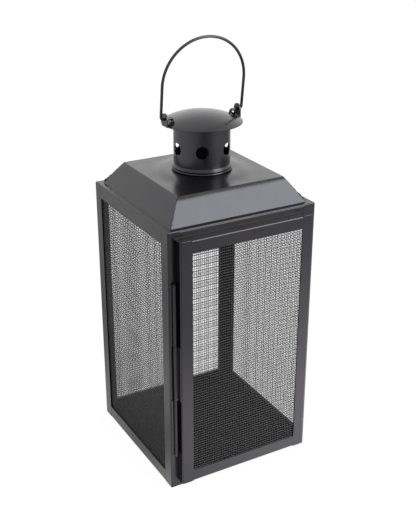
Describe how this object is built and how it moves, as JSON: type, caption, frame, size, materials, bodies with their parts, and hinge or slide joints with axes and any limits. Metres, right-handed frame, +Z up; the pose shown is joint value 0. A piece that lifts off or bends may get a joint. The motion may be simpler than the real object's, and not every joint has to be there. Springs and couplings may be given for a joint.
{
  "type": "candle lantern",
  "caption": "Square metal candle lantern with woven-wire panels, a hinged wire-mesh door, a hipped roof, a vented chimney with a domed cap and a swinging wire bail.",
  "frame": {"origin": "centre of the whole footprint, door included, on the surface the lantern stands on", "axes": "+Z up, the door faces -Y, +X to the right as seen facing the door"},
  "size_m": [0.15, 0.158, 0.4042],
  "materials": {
    "frame_paint": "black powder coat, satin, on welded folded strip",
    "door_paint": "black powder coat, satin, on welded folded strip",
    "roof_paint": "black powder coat, semi-gloss, on pressed sheet",
    "floor_paint": "black powder coat, satin, on flat sheet",
    "wire_mesh": "dark coated woven wire",
    "hinge_paint": "black powder coat over a rolled hinge",
    "bail_paint": "black coated wire, semi-gloss"
  },
  "bodies": {
    "root": {"post_front_left": "frame_paint", "post_front_right": "frame_paint", "post_rear_left": "frame_paint", "post_rear_right": "frame_paint", "bottom_rail_front": "frame_paint", "bottom_rail_rear": "frame_paint", "bottom_rail_left": "frame_paint", "bottom_rail_right": "frame_paint", "top_rail_front": "frame_paint", "top_rail_rear": "frame_paint", "top_rail_left": "frame_paint", "top_rail_right": "frame_paint", "floor_plate": "floor_paint", "mesh_left": "wire_mesh", "mesh_right": "wire_mesh", "mesh_rear": "wire_mesh", "roof": "roof_paint", "chimney_tube": "roof_paint", "chimney_collar": "roof_paint", "chimney_cap": "roof_paint", "bail_ear_left": "roof_paint", "bail_ear_right": "roof_paint", "hinge_knuckle_lower": "hinge_paint", "hinge_knuckle_upper": "hinge_paint", "hinge_pin": "hinge_paint"},
    "door": {"door_stile_hinge": "door_paint", "door_stile_free": "door_paint", "door_rail_top": "door_paint", "door_rail_bottom": "door_paint", "door_mesh": "wire_mesh", "hinge_knuckle_door": "hinge_paint"},
    "bail": {"bail": "bail_paint"}
  },
  "joints": [
    {"name": "door_hinge", "type": "hinge", "parent": "root", "child": "door", "pos_m": [-0.0702, -0.07295, 0.1238], "axis": [0, 0, -1], "range_deg": [0, 136]},
    {"name": "bail_pivot", "type": "hinge", "parent": "root", "child": "bail", "pos_m": [0, 0.00395, 0.3329], "axis": [1, 0, 0], "range_deg": [-141.5, 127.5]}
  ]
}
